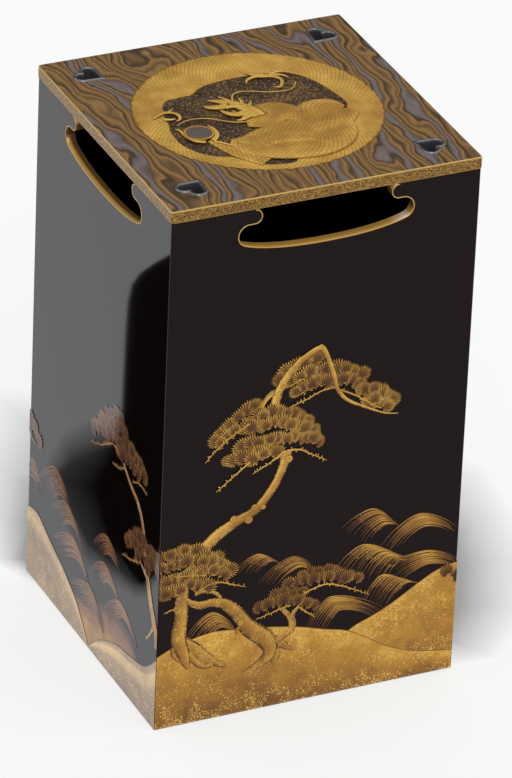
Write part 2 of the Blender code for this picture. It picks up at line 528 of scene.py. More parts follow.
def addRing(sheet, u, v, reach, lift, shade, turns):
    # closed row of points round a centre
    row = []
    for index in range(turns):
        angle = 2 * math.pi * index / turns
        row.append(addPoint(sheet, u + math.cos(angle) * reach, v + math.sin(angle) * reach, lift, shade))
    return [*row, row[0]]


def fillRing(sheet, middle, ring):
    sheet["faces"] += [(middle, one, other) for one, other in zip(ring, ring[1:])]


def smoothLine(rows, pieces=6):
    ends = [rows[0], *rows, rows[-1]]
    line = []
    for group in zip(ends, ends[1:], ends[2:], ends[3:]):
        for step in range(pieces):
            t = step / pieces
            line.append(tuple(
                0.5 * (2 * q + (r - p) * t + (2 * p - 5 * q + 4 * r - s) * t * t
                       + (3 * q - p - 3 * r + s) * t ** 3)
                for p, q, r, s in zip(*group)))
    return [*line, tuple(rows[-1])]


def lengthsAlong(line):
    lengths = [0.0]
    for one, other in zip(line, line[1:]):
        lengths.append(lengths[-1] + math.dist(one[:2], other[:2]))
    return lengths


def evenLine(line, count):
    # the same line in this many even steps
    lengths = lengthsAlong(line)
    spaced, k = [], 0
    for number in range(count + 1):
        goal = lengths[-1] * number / count
        while k < len(line) - 2 and lengths[k + 1] < goal:
            k += 1
        share = (goal - lengths[k]) / max(lengths[k + 1] - lengths[k], 1e-9)
        spaced.append(tuple(a + (b - a) * share for a, b in zip(line[k], line[k + 1])))
    return spaced


def direction(line, index):
    before, after = line[max(index - 1, 0)], line[min(index + 1, len(line) - 1)]
    du, dv = after[0] - before[0], after[1] - before[1]
    reach = math.hypot(du, dv) or 1.0
    return du / reach, dv / reach


def dimmed(profile, tone):
    return [(share, rise, shade * tone) for share, rise, shade in profile]


def addStroke(sheet, line, lift, profile, dust=0.0, fade=0.0):
    # profile rows are (share of the half width, rise, shade); fade darkens both ends
    lengths = lengthsAlong(line)
    rows = []
    for index, (u, v, width) in enumerate(line):
        du, dv = direction(line, index)
        dim = 1.0 - fade * abs(2 * index / (len(line) - 1) - 1) ** 1.6
        row = []
        for share, rise, shade in profile:
            half = share * width / 2
            row.append(addPoint(
                sheet, u - dv * half, v + du * half, lift + rise, shade * dim, dust * dim,
                lengths[index], half))
        rows.append(row)
    joinRows(sheet["faces"], rows)


def addDisc(sheet, u, v, radius, lift, rings, turns=14):
    # rings are (share of the radius, rise, shade), from the middle outwards
    middle = addPoint(sheet, u, v, lift + rings[0][1], rings[0][2])
    rows = [
        addRing(sheet, u, v, radius * share, lift + rise, shade, turns)
        for share, rise, shade in rings[1:]]
    fillRing(sheet, middle, rows[0])
    joinRows(sheet["faces"], rows)


trunkProfile = [
    (-1.16, -0.004, 0.12), (-0.96, 0, 0.34), (-0.72, 0.03, 0.66), (-0.1, 0.06, 0.76), (0.5, 0.05, 0.9),
    (0.8, 0.03, 0.98), (0.97, 0, 0.4), (1.16, -0.004, 0.12),
]
twigProfile = [(-1, 0, 0.62), (0, 0.03, 0.95), (1, 0, 0.62)]
knotRings = [
    (0, 0.1, 0.9), (0.25, 0.1, 0.9), (0.42, 0.1, 0.5), (0.6, 0.12, 1), (0.9, 0.09, 0.8),
    (1.15, 0, 0.16),
]
fanSettings = {
    "needles": 15,
    "base": 0.5,
    "discTurn": 304,
    "discReach": (0.82, 0.04),
    "discShades": (0.34, 0.19),
    "turn": 292,
    "reach": (1.02, 0.12),
    "shade": (0.92, 0.20),
    "slim": 0.25,
    "taper": 0.22,
    "step": 0.003,
}


def addFan(sheet, u, v, radius, lean, lift, rng, tone):
    # a tuft of pine needles spreading from a base near its lower edge
    values = fanSettings
    needles, taper, slim = values["needles"], values["taper"], values["slim"]
    baseU = u - math.sin(lean) * radius * values["base"]
    baseV = v - math.cos(lean) * radius * values["base"]

    def spread(label, share):
        least, more = values[label]
        out = radius * (least + more * rng.random())
        return u + math.sin(share) * out, v + math.cos(share) * out

    middle = addPoint(sheet, baseU, baseV, lift, values["discShades"][0] * tone)
    rim = []
    for index in range(needles + 1):
        turn = lean + math.radians(values["discTurn"] * (index / needles - 0.5))
        rim.append(addPoint(sheet, *spread("discReach", turn), lift, values["discShades"][1] * tone))
    sheet["faces"] += [(middle, other, one) for one, other in zip(rim, rim[1:])]
    for index in range(needles):
        turn = lean + math.radians(values["turn"] * (index / (needles - 1) - 0.5))
        tipU, tipV = spread("reach", turn)
        du, dv = tipU - baseU, tipV - baseV
        reach = math.hypot(du, dv)
        sideU, sideV = -dv / reach * slim, du / reach * slim
        backU, backV = tipU - du * taper, tipV - dv * taper
        shade = tone * (values["shade"][0] + values["shade"][1] * rng.random())
        near = addPoint(sheet, baseU + du * taper, baseV + dv * taper, lift + 0.0015, shade * 0.45)
        left = addPoint(sheet, backU + sideU, backV + sideV, lift + 0.002, shade)
        tip = addPoint(sheet, tipU, tipV, lift + 0.002, shade * 1.1)
        right = addPoint(sheet, backU - sideU, backV - sideV, lift + 0.002, shade)
        sheet["faces"].append((near, right, tip, left))


def addFoliage(sheet, rows, radius, lift, rng, tone):
    # rows run from back to front: start, end, how far the row bows up, how many tufts
    for startU, startV, endU, endV, bow, count in rows:
        slope = math.atan2(endV - startV, max(endU - startU, 1.0))
        order = list(range(count))
        rng.shuffle(order)
        for index in order:
            t = index / max(count - 1, 1)
            u = startU + (endU - startU) * t + rng.uniform(-1.0, 1.0)
            v = startV + (endV - startV) * t + bow * math.sin(math.pi * t) + rng.uniform(-1.0, 1.0)
            lean = math.radians(-42 + 84 * t) - slope * 0.5 + rng.uniform(-0.25, 0.25)
            size = radius * rng.uniform(0.80, 1.08)
            addFan(sheet, u, v, size, lean, lift, rng, tone * rng.uniform(0.84, 1.06))
            lift += fanSettings["step"]


def addTwig(sheet, rows, lift, rng, tone=1.0):
    line = smoothLine(rows, 7)
    line = evenLine(line, max(2, round(lengthsAlong(line)[-1] / 1.5)))
    profile = dimmed(twigProfile, tone)
    addStroke(sheet, line, lift, profile)
    for index, (u, v, width) in list(enumerate(line))[1:-1]:
        du, dv = direction(line, index)
        length = rng.uniform(0.5, 1.8) * (1.0 if rng.random() < 0.68 else -0.8) * math.copysign(1.0, du)
        lean = rng.uniform(-0.5, 1.1)
        tip = (u - dv * length - du * lean, v + du * length - dv * lean, 0.74)
        addStroke(sheet, [(u, v, 0.34), tip], lift + 0.004, profile)


hillSettings = {
    "slope": ((0.28, 0.46), (0.56, 0.76), (0.80, 0.94)),
    "depth": 5.5,
    "step": 0.0014,
    "strayLeft": (-0.22, 0.12),
    "strayRight": (-0.20, 0.10),
    "bare": 0.35,
    "line": [(-1.0, 0.0, 0.58), (0.0, 0.004, 1.0), (1.0, 0.0, 0.66)],
}


def addHill(sheet, first, final, count, lift, rng, tone, under):
    # first and final are (left foot, peak, right foot); the lines between them step evenly
    values = hillSettings

    def between(one, other, share, rise=None):
        high = share if rise is None else rise
        return one[0] + (other[0] - one[0]) * share, one[1] + (other[1] - one[1]) * high

    def ridge(share, strayLeft=0.0, strayRight=0.0):
        left, peak, right = [between(one, other, share) for one, other in zip(first, final)]
        left, right = between(left, peak, -strayLeft), between(right, peak, -strayRight)
        rising = [between(left, peak, *spot) for spot in values["slope"]]
        falling = [between(right, peak, *spot) for spot in reversed(values["slope"])]
        return smoothLine([left, *rising, peak, *falling, right], 2)

    outline = ridge(0.0)
    swells = [math.sin(math.pi * index / (len(outline) - 1)) for index in range(len(outline))]
    rows = []
    for (u, v), swell in zip(outline, swells):
        low = v - values["depth"] * swell ** 0.5
        rows.append([addPoint(sheet, u, v, lift, under * 0.5), addPoint(sheet, u, low, lift, under)])
    joinRows(sheet["faces"], rows, True)
    for number in range(count):
        share = (number + (rng.uniform(-0.25, 0.25) if number else 0.0)) / count
        stray = (rng.uniform(*values["strayLeft"]), rng.uniform(*values["strayRight"])) if number else ()
        line, below = ridge(share, *stray), ridge(share + 0.9 / count, *stray)
        level = lift + 0.001 + values["step"] * number
        strength = tone * rng.uniform(0.82, 1.0)
        rows = []
        for high, low, swell in zip(line, below, swells):
            if swell ** 1.1 >= values["bare"]:
                glow = strength * swell ** 1.1
                rows.append([addPoint(sheet, *high, level, 0.56 * glow, 0.2 * glow),
                             addPoint(sheet, *low, level, 0.12 * glow, 0.1 * glow)])
        joinRows(sheet["faces"], rows, True)
        wide = rng.uniform(0.40, 0.66)
        narrow = math.sin(math.pi * 0.04)
        stroke = [(u, v, 0.12 + wide * max(swell, narrow) ** 0.9) for (u, v), swell in zip(line, swells)]
        addStroke(sheet, stroke, level + 0.0008, dimmed(values["line"], strength), 0.0, 0.6)
    return lift + values["step"] * count + 0.002


def addMound(sheet, crest, lift, bands, floor=0.45, columns=72):
    # bands are (share of the depth, shade, dust) from the crest down to the floor of the face
    line = smoothLine(crest, 8)
    step = max(1, len(line) // columns)
    line = line[::step] + ([line[-1]] if (len(line) - 1) % step else [])
    rows = [
        [addPoint(sheet, u, v - (v - floor) * share, lift, shade, dust) for share, shade, dust in bands]
        for u, v in line]
    joinRows(sheet["faces"], rows, True)


def finishSheet(sheet, name, faceName, material):
    origin, across, outward = faces[faceName]
    up = outward.cross(across)
    verts = [origin + (u * across + v * up + lift * outward) * mm for u, v, lift in sheet["verts"]]
    item = makeMesh(name, verts, sheet["faces"], material, True)
    for label, values in zip(pointLabels, zip(*sheet["marks"])):
        markPoints(item, label, values)
    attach(item, bodyName)


def makeFaces():
    # each face's lower left corner, the way across it and the way out of it
    low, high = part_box("box")
    topLow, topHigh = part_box("top_board")
    rows = {
        "front": ((low.x, low.y, 0), (1, 0, 0), (0, -1, 0)),
        "right": ((high.x, low.y, 0), (0, 1, 0), (1, 0, 0)),
        "back": ((high.x, high.y, 0), (-1, 0, 0), (0, 1, 0)),
        "left": ((low.x, high.y, 0), (0, -1, 0), (-1, 0, 0)),
        "top": ((topLow.x, topLow.y, topHigh.z), (1, 0, 0), (0, 0, 1)),
    }
    return {name: [Vector(row) for row in triple] for name, triple in rows.items()}


faces = makeFaces()

hazeBands = [(0, 0.02, 0), (0.2, 0.38, 0), (0.5, 0.58, 0.1), (1, 0.6, 0.1)]
paleBands = [
    (0, 0.7, 0.3), (0.05, 0.86, 0.5), (0.16, 0.92, 0.6), (0.32, 0.66, 0.3), (0.62, 0.6, 0.3),
    (1, 0.54, 0.5),
]
lateBands = [
    (0, 0.66, 0.3), (0.1, 0.7, 0.4), (0.18, 0.95, 0.6), (0.34, 0.9, 0.5), (0.5, 0.64, 0.2),
    (0.8, 0.56, 0.5), (1, 0.46, 0.8),
]
slopeBands = [
    (0, 0.9, 0.35), (0.05, 0.82, 1), (0.26, 0.8, 0.9), (0.42, 0.74, 0.3), (0.62, 0.65, 0.15),
    (0.8, 0.58, 0.6), (0.93, 0.49, 0.9), (1, 0.42, 0.9),
]

# trunks and roots that start below the foot height are duller, like the shore they stand on
plainSettings = {
    "hillTone": 1.0,
    "hillUnder": 0.0,
    "bands": [slopeBands, slopeBands],
    "moundGold": groundGold,
    "treeGold": fineGold,
    "barkTone": 1.0,
    "footHeight": 85,
    "footTone": 0.86,
    "tuft": 5.0,
    "trunkDust": 0.9,
    "startLift": 0.02,
    "hazeLift": 0.004,
    "moundLift": 0.01,
    "trunkLift": 0.02,
    "strokeLift": 0.006,
    "leafLift": 0.05,
    "twigLift": 0.12,
    "pineLift": 0.28,
    "pineKnotLift": 0.29,
    "crownLift": 0.36,
    "crownTwigLift": 0.50,
}


def drawGround(values, faceName, rng):
    hills = newSheet()
    lift = values["startLift"]
    for crest in values.get("haze", []):
        addMound(hills, crest, lift, hazeBands)
        lift += values["hazeLift"]
    for hill in values["hills"]:
        lift = addHill(hills, *hill, lift, rng, values["hillTone"], values["hillUnder"])
    finishSheet(hills, faceName + "_hills", faceName, values["treeGold"])
    mounds = newSheet()
    for crest, bands in zip(values["crests"], values["bands"]):
        lift += values["moundLift"]
        addMound(mounds, crest, lift, bands)
        edge = [(u, v - 0.2, 0.75) for u, v in smoothLine(crest, 8)]
        shade = bands[0][1]
        addStroke(mounds, edge, lift + 0.002, [(-1.0, 0.0, shade), (1.0, 0.0, shade * 0.35)])
    finishSheet(mounds, faceName + "_mounds", faceName, values["moundGold"])
    return lift + values["moundLift"]


def drawTrees(values, faceName, rng, lift):
    trunks = newSheet()
    level = lift + values["trunkLift"]
    for rows in values["roots"] + values["stems"]:
        tone = values["barkTone"] * (values["footTone"] if rows[0][1] < values["footHeight"] else 1.0)
        profile = dimmed(trunkProfile, tone)
        addStroke(trunks, smoothLine(rows, 7), level, profile, values["trunkDust"] * tone)
        level += values["strokeLift"]
    for knot in values["knots"]:
        addDisc(trunks, *knot, level, dimmed(knotRings, values["barkTone"]))
    finishSheet(trunks, faceName + "_trunks", faceName, values["treeGold"])
    leaves = newSheet()
    level += values["leafLift"]
    for rows, tone in values["foliage"]:
        addFoliage(leaves, rows, values["tuft"], level, rng, tone)
    for rows in values["twigs"]:
        addTwig(leaves, rows, level + values["twigLift"], rng, values["barkTone"])
    finishSheet(leaves, faceName + "_foliage", faceName, values["treeGold"])


def drawPine(values, faceName, rng, lift):
    pine = newSheet()
    line = smoothLine(values["pine"], 8)
    addStroke(pine, line, lift + values["pineLift"], trunkProfile, values["trunkDust"])
    for knot in values["pineKnots"]:
        addDisc(pine, *knot, lift + values["pineKnotLift"], knotRings)
    finishSheet(pine, faceName + "_pine", faceName, values["treeGold"])
    crown = newSheet()
    level = lift + values["crownLift"]
    addFoliage(crown, values["crown"], values["tuft"], level, rng, values["crownTone"])
    for rows in values["crownTwigs"]:
        addTwig(crown, rows, lift + values["crownTwigLift"], rng)
    finishSheet(crown, faceName + "_crown", faceName, values["treeGold"])


def drawFace(values, faceName):
    rng = random.Random(values["seed"])
    lift = drawGround(values, faceName, rng)
    drawTrees(values, faceName, rng, lift)
    if "pine" in values:
        drawPine(values, faceName, rng, lift)


# Front face: a leaning pine over a shore with low hills behind

frontSettings = {
    **plainSettings,
    "seed": 11,
    "barkTone": 0.95,
    "tuft": 4.3,
    "hills": [
        ([(101.6, 99.5), (118.4, 107.9), (128.5, 101.5)], [(119.1, 87), (128.2, 96), (135.5, 94)], 10),
        ([(124, 83), (146.4, 99), (168.5, 86.5)], [(135.5, 80.5), (150.5, 90.5), (166, 84)], 10),
        ([(42.7, 87.5), (54.5, 94.5), (65, 88)], [(54.8, 82), (63.2, 88.2), (68.5, 85.6)], 8),
        ([(55.7, 77), (74.6, 88.6), (86, 81.5)], [(67.8, 73.3), (79.1, 81.1), (87, 77.4)], 9),
        ([(99.5, 76), (114.8, 87.2), (127, 82.4)], [(130.5, 61.5), (138.5, 72.5), (146.6, 70.4)], 17),
        ([(128.7, 73.5), (150.3, 76), (169.5, 67.6)], [(138.8, 59.5), (153.3, 67), (167.8, 62.9)], 10),
        ([(115.6, 52), (127.1, 66.4), (136.9, 62.4)], [(131.5, 46), (143.4, 58), (150.6, 55.3)], 10),
        ([(84, 44), (97.9, 59.6), (129.8, 45)], [(96.6, 38.8), (104, 49.5), (122.6, 41.5)], 10),
        ([(15.3, 52), (30, 64.8), (44.7, 50.3)], [(27.6, 45.7), (35.9, 54.3), (45.1, 47.3)], 9),
    ],
    "crests": [
        [
            (104, 33), (112, 38.8), (121, 42.4), (132.1, 47.6), (146.4, 56.3), (156.5, 62), (165, 64.6),
            (170, 65.4),
        ],
        [
            (0, 44.3), (8, 48), (16.4, 50.6), (31.7, 53), (47.3, 51.2), (64.3, 48.8), (80.1, 45.3),
            (94.6, 40.8), (107.7, 37), (119.6, 30), (130, 23.2), (143.4, 17.2), (156, 14), (170, 11.6),
        ],
    ],
    "roots": [
        [(12.6, 50.4, 8), (20.6, 45, 7), (27, 39, 5.6), (32.7, 34.4, 4), (40.1, 30, 1.2)],
        [(15.2, 45.9, 4.6), (19.7, 39.9, 3.6), (24.7, 34.2, 2.8), (29.5, 32.6, 1.9), (31.9, 33.8, 0.8)],
        [(11.5, 51, 4.4), (9, 47.3, 2.8), (9.8, 42.9, 2.2), (13.6, 38.6, 1)],
        [(65.7, 41, 4.9), (71.5, 36.4, 3.6), (77, 31.9, 1.2)],
        [(65.8, 37.5, 5.4), (67.7, 32, 4.1), (66.2, 27.4, 2.8), (63.6, 23.4, 1)],
        [(62.7, 31.5, 3.4), (59.6, 27.2, 2.6), (57.2, 22.8, 2), (54, 20.6, 0.8)],
        [(48.4, 54.4, 3), (45, 51.6, 2.2), (44.6, 48.6, 1.2)],
    ],
    "stems": [
        [(61.4, 189, 3.4), (57.6, 187.6, 2.8), (54.2, 183.6, 2.3), (52.6, 177, 1.8)],
        [
            (20, 98, 7), (25.5, 105.5, 6.4), (33.7, 112.4, 5.8), (42.7, 117.2, 5.4), (49.5, 119.8, 5),
            (55, 124, 4.7), (60.6, 131.4, 4.5), (65.5, 140.3, 4.4), (68, 149, 4.9), (68.4, 153.5, 5.6),
        ],
        [(20.4, 77.3, 1.1), (24.4, 78.6, 1.5), (30, 77.4, 1.9), (33.7, 74.3, 1.8), (35.4, 70.9, 1.4)],
        [
            (13.4, 82, 6), (12.9, 75.3, 6.2), (12.9, 68.7, 6.6), (12.4, 62.2, 6.9), (11.6, 55.8, 7.6),
            (12.3, 49.9, 7.6), (14.9, 43.5, 6), (16.6, 37.3, 4), (17.9, 33.3, 1.2),
        ],
        [(76, 50.4, 2.6), (76.2, 54.2, 2.3), (77.7, 56.2, 1.8), (79.6, 58.6, 1)],
        [
            (64, 37, 3), (70, 40.6, 2.6), (75, 43.6, 3.2), (76.3, 47.7, 3.8), (75.5, 51.2, 3.4),
            (73.5, 54.2, 2.7), (71.4, 56.8, 2.3), (70.2, 59.6, 1.6),
        ],
        [
            (13.6, 77, 3.4), (17.6, 73.6, 3.2), (23.8, 70.9, 4.2), (30.2, 71.1, 4.6), (36.6, 69.1, 5.4),
            (42.4, 64, 6.3), (47.2, 57.6, 6.8), (50.6, 52, 8.2), (55.7, 47.3, 8.8), (61.6, 41.8, 9),
            (64.2, 35.4, 7.4), (61.9, 30.5, 5.6), (56.3, 27, 3.8), (49.5, 24.4, 1),
        ],
    ],
    "knots": [
        (40.2, 118.6, 1.9), (48.8, 116.4, 2.1), (51.6, 123.2, 1.8), (56.6, 122.4, 1.4),
        (69.8, 148, 2.1), (66.2, 150.8, 1.7), (46.6, 55.2, 1.6), (11.6, 53, 1.7), (33.2, 71.2, 1.5),
    ],
    "foliage": [
        (
            [
                (1.5, 103.5, 24, 103, 2.5, 8), (25, 99.5, 40, 88.5, 2.5, 6), (1, 97, 28, 96, 2, 9),
                (15, 92, 37, 87, 2, 8), (1, 89, 21, 88, 1, 8), (2, 81.5, 28, 82.5, 2, 9),
            ],
            0.92,
        ),
        (
            [
                (81, 77, 112, 67.5, 3.5, 8), (73, 72.6, 106, 69, 2.5, 8), (65, 67.5, 81, 66, 0.5, 4),
                (56.6, 62.8, 89, 58, 3, 8), (163.5, 61.5, 169.5, 58, 0, 2),
            ],
            0.7,
        ),
        ([(27, 168, 50.5, 184, 1.5, 8), (31, 164.5, 52, 177, 1, 6)], 0.92),
        (
            [
                (61, 196.5, 84.5, 204.5, 2, 9), (67, 193.5, 90, 198, 1, 8),
                (94, 198, 109, 189.5, 1.5, 6), (72.5, 187.5, 92, 189.5, 2, 8),
                (96, 189.5, 108, 184.5, 1, 6), (109, 181, 127.5, 171.5, 3.5, 8),
                (112, 174, 125, 168.5, 1.5, 6),
            ],
            0.92,
        ),
    ],
    "twigs": [
        [(20, 78.5, 1), (27, 82, 0.9), (34, 82.4, 0.8), (41, 79.6, 0.7), (48.6, 76.6, 0.4)],
        [(10.8, 72.5, 1), (3, 70.4, 0.5)], [(26, 88.4, 0.7), (7.6, 91.4, 0.5)],
        [(81.6, 65.2, 1), (93.8, 68.2, 0.9), (105.4, 64.2, 0.7), (119.6, 56.4, 0.4)],
        [(74.9, 59.7, 0.9), (69.3, 59.1, 0.9), (63.6, 57.4, 0.8), (55, 55.4, 0.4)],
        [(79.5, 57.6, 0.9), (84, 53.6, 0.8), (88.8, 49.5, 0.4)],
    ],
    "pine": [
        (60.2, 176, 5), (60.9, 182, 4.6), (61.9, 187.5, 4.4), (65.1, 194.1, 4.2), (72, 202.6, 4),
        (78.1, 207, 3.6), (84.6, 210, 3.2), (87.2, 207.4, 2.8), (89.8, 201.4, 2.6), (93.2, 191.6, 2.3),
        (95, 184.7, 2.1), (100.3, 177.2, 1.7), (109, 171.6, 1.3), (122.2, 164.6, 0.9),
        (130.5, 162.6, 0.5),
    ],
    "pineKnots": [(61.8, 187.6, 1.5), (84.9, 210.4, 1.5)],
    "crown": [
        (51.5, 177.5, 80.5, 169, 3.5, 10), (47, 171, 82.5, 163.5, 3, 12),
        (40.5, 161, 87, 156.5, 3.5, 14), (35.5, 153.5, 60, 155.5, 1, 8), (48.5, 152, 64, 154, 0.5, 5),
    ],
    "crownTone": 0.92,
    "crownTwigs": [
        [(67.5, 153.2, 1.2), (60.1, 148.7, 0.9), (49.7, 143.5, 0.45)],
        [(68.4, 153.4, 1.2), (76, 152.4, 0.9), (82, 148.6, 0.7), (91, 143.2, 0.45)],
        [(48, 151, 1), (37.8, 143.3, 0.8), (29.6, 137, 0.4)],
        [(47, 173.5, 1), (33, 165.4, 0.8), (22.8, 155.4, 0.4)],
        [(94.6, 185.4, 1.2), (86, 184.6, 0.9), (78.8, 181.6, 0.7), (68.8, 178.6, 0.4)],
        [(76, 193.8, 0.8), (64, 189.8, 0.5)], [(96.4, 183.4, 0.9), (106, 178, 0.8), (120, 168, 0.5)],
        [(46, 118, 1.2), (52, 120.6, 0.6)],
    ],
}
drawFace(frontSettings, "front")
print("stage: front face")

# Left face: the shore runs on round the corner, with a smaller pine

# the left face's hill, bark and foliage tones are dimmed against the front's: painted shade; its mound
# bands and golds are paler: painted reflection of the bright floor
leftSettings = {
    **plainSettings,
    "seed": 23,
    "hillTone": 0.66,
    "hillUnder": 0.16,
    "bands": [paleBands, lateBands],
    "moundGold": paleReflectionGold,
    "treeGold": shadedLeafGold,
    "barkTone": 0.74,
    "hills": [
        ([(13, 65.4), (36.1, 82.8), (51.6, 74.7)], [(30, 57), (44, 70), (56, 66)], 12),
        ([(0, 66), (5, 72), (18, 61)], [(0, 56), (6, 60), (18, 52)], 8),
        ([(86.7, 67), (103.3, 79.5), (118.8, 72)], [(96, 61), (109, 70), (122, 66)], 10),
        ([(32, 57), (50, 70), (72, 58)], [(44, 49), (60, 60), (76, 51)], 12),
        ([(84, 49), (101.8, 62), (120.8, 52)], [(94, 41), (109, 53), (124, 46)], 12),
        ([(102, 35), (122.8, 50.5), (144.9, 37.6)], [(112, 30), (129, 43), (146.9, 33.6)], 10),
        ([(34.6, 41), (60.2, 54.5), (80.2, 42.4)], [(46.6, 32), (68.2, 44), (84.2, 34.4)], 12),
        ([(58, 26), (82, 38), (102, 25)], [(68, 16), (90, 26), (104, 16)], 10),
    ],
    "haze": [
        [
            (52, 24), (58, 24), (66, 24), (84.3, 30), (103.5, 38), (117.7, 42), (130.8, 40.5),
            (140.2, 35.6), (148, 27),
        ],
    ],
    "crests": [
        [
            (0, 41), (6, 42.4), (14.6, 42.6), (26.6, 37.6), (37, 33.5), (50.8, 28), (66, 19.5),
            (76, 10), (85, 0.6),
        ],
        [
            (83, 0.6), (86.5, 4), (94, 10.5), (104.9, 16.9), (120.9, 23.3), (137, 26), (156.1, 31),
            (170, 42.5),
        ],
    ],
    "roots": [[(165.9, 62, 2.4), (161.5, 54, 1.8), (156.5, 48, 1)]],
    "stems": [
        [
            (121.8, 133.3, 2), (130.8, 126.1, 2.8), (139.9, 121.1, 3.2), (145.9, 114.4, 3.4),
            (150.4, 103.4, 3.6), (152.5, 94, 3.8), (156.9, 81, 4.2), (162.9, 67.4, 4.6),
            (168.9, 55.7, 5.2), (169.9, 49, 5.8),
        ],
        [(156.9, 83, 2.4), (149.5, 87, 1.8), (145.5, 90, 1.2)],
    ],
    "knots": [(151.9, 96, 1.5), (143.1, 118.1, 1.4)],
    "foliage": [
        (
            [
                (94.5, 146.5, 116.5, 158.5, 2, 5), (86.5, 138.5, 122.5, 152.5, 3, 9),
                (84.5, 135.5, 100.5, 139, 1, 4), (102.5, 142, 128.5, 141.5, 2, 6),
                (126.5, 145.5, 148.5, 140.5, 2.5, 5), (114.5, 137, 139.5, 136.5, 1, 5),
            ],
            0.62,
        ),
        (
            [
                (134.5, 97, 150.5, 103.5, 1.5, 4), (154.5, 100, 169.5, 102, 0, 4),
                (130.5, 92, 154.5, 95, 2, 6), (156.5, 94.5, 169.5, 95.5, 1, 4),
                (144.5, 90, 156.5, 89.5, 0, 2), (2, 97, 8, 93, 0.5, 2), (2, 90, 12.5, 88, 0.5, 2),
            ],
            0.6,
        ),
    ],
    "twigs": [
        [(116.5, 135.5, 1), (108.3, 137.5, 0.8), (94.5, 129.5, 0.7), (80.5, 124.1, 0.4)],
        [(123.5, 131.9, 1), (116.5, 127.5, 0.7), (108.5, 126.5, 0.4)],
        [(134.5, 129.1, 1), (142.5, 132.5, 0.7), (152.5, 130.9, 0.4)],
        [(148.5, 88.6, 1), (136.5, 84, 0.8), (123.5, 80.4, 0.4)], [(1, 85, 0.8), (10, 83.6, 0.4)],
    ],
}
drawFace(leftSettings, "left")
print("stage: left face")

# Right and back faces aren't in the photo: the same shore, drawn more plainly

rightSettings = {
    **plainSettings,
    "seed": 31,
    "hills": [
        ([(20, 66), (40, 78), (58, 68)], [(32, 56), (48, 66), (62, 60)], 10),
        ([(96, 70), (118, 84), (140, 72)], [(108, 60), (126, 72), (144, 64)], 12),
        ([(60, 54), (82, 66), (104, 54)], [(72, 44), (92, 54), (108, 46)], 10),
        ([(118, 48), (140, 60), (168, 46)], [(130, 38), (148, 48), (168, 40)], 10),
    ],
    "crests": [
        [(0, 65.4), (14, 62), (34, 50), (56, 40), (84, 34), (116, 26), (146, 16), (170, 10)],
        [(0, 11.6), (30, 12), (60, 18), (96, 24), (130, 33), (152, 37), (170, 37.5)],
    ],
    "roots": [[(74, 40, 2.6), (80, 35, 1.6), (88, 31, 0.8)]],
    "stems": [[(70, 37, 4.6), (72, 48, 4), (66, 60, 3.6), (58, 70, 3.2), (56, 82, 2.8), (62, 92, 2.2)]],
    "knots": [(67.6, 58, 1.5)],
    "foliage": [([(44, 95, 70, 101, 3, 6), (38, 88, 80, 92, 3, 10), (46, 83, 68, 85, 1, 5)], 0.92)],
    "twigs": [[(60, 86, 1), (46, 80, 0.8), (34, 78, 0.4)], [(62, 88, 1), (76, 84, 0.7), (86, 82, 0.4)]],
}
backSettings = {
    **plainSettings,
    "seed": 37,
    "hills": [
        ([(24, 62), (46, 75), (68, 62)], [(36, 52), (54, 63), (72, 55)], 10),
        ([(108, 58), (130, 72), (154, 60)], [(120, 48), (138, 60), (158, 52)], 10),
        ([(66, 46), (90, 58), (112, 46)], [(78, 36), (98, 46), (116, 38)], 10),
    ],
    "crests": [
        [(0, 10), (34, 15), (70, 26), (104, 36), (136, 36), (170, 32.8)],
        [(0, 37.5), (20, 36), (44, 27), (80, 17), (120, 12), (170, 9)],
    ],
    "roots": [],
    "stems": [[(30, 33, 4.4), (34, 46, 3.8), (30, 60, 3.2), (36, 76, 2.6)]],
    "knots": [(31.6, 56, 1.4)],
    "foliage": [([(22, 84, 46, 88, 3, 6), (18, 78, 56, 80, 3, 9), (26, 73.5, 46, 74, 1, 5)], 0.92)],
    "twigs": [[(34, 75, 1), (22, 71, 0.7), (12, 70, 0.4)], [(36, 76, 1), (50, 73, 0.7), (60, 72, 0.4)]],
}
drawFace(rightSettings, "right")
drawFace(backSettings, "back")
print("stage: right and back faces")

# Lid board: wood grain drawn in gold and brown on top, sprinkled gold round the edge

boardSettings = {
    "pitch": 8.6,
    "waves": [((16, 7), 5.8), ((48, 22), 2.1), ((140, 70), 0.96)],
    "streak": (900, 45),
    "warm": [
        (0, "line"), (0.05, "line"), (0.12, "deep"), (0.24, "brown"), (0.44, "ochre"), (0.58, "brown"),
        (0.66, "deep"), (0.74, "brown"), (0.9, "ochre"), (0.96, "deep"), (1, "line"),
    ],
    "cold": [
        (0, "line"), (0.05, "line"), (0.1, "slate"), (0.3, "slateLight"), (0.5, "slate"),
        (0.56, "deep"), (0.64, "brown"), (0.84, "ochre"), (0.95, "deep"), (1, "line"),
    ],
    "knots": [
        (-40, 74, 7, 12, 1.5), (48, 79, 6, 11, 1.3), (34, -70, 5, 10, 1.4), (70, -34, 6, 12, 0.9),
        (-75, -10, 5, 14, -0.8), (-38, -76, 5, 9, -1.2), (76, 44, 5, 13, 1), (-70, 40, 5, 14, -0.7),
    ],
    "line": (0.03, 0.017, 0.01),
    "deep": (0.085, 0.05, 0.024),
    "brown": (0.18, 0.092, 0.03),
    "ochre": (0.31, 0.17, 0.046),
    "slate": (0.098, 0.083, 0.09),
    "slateLight": (0.18, 0.158, 0.168),
    "edge": (0.215, 0.117, 0.024),
    "edgeDeep": (0.046, 0.022, 0.006),
    "edgeFlake": (0.7, 0.43, 0.1),
    "arris": (0.6, 0.385, 0.115),
    "roughness": 0.34,
    "coat": 0.5,
}


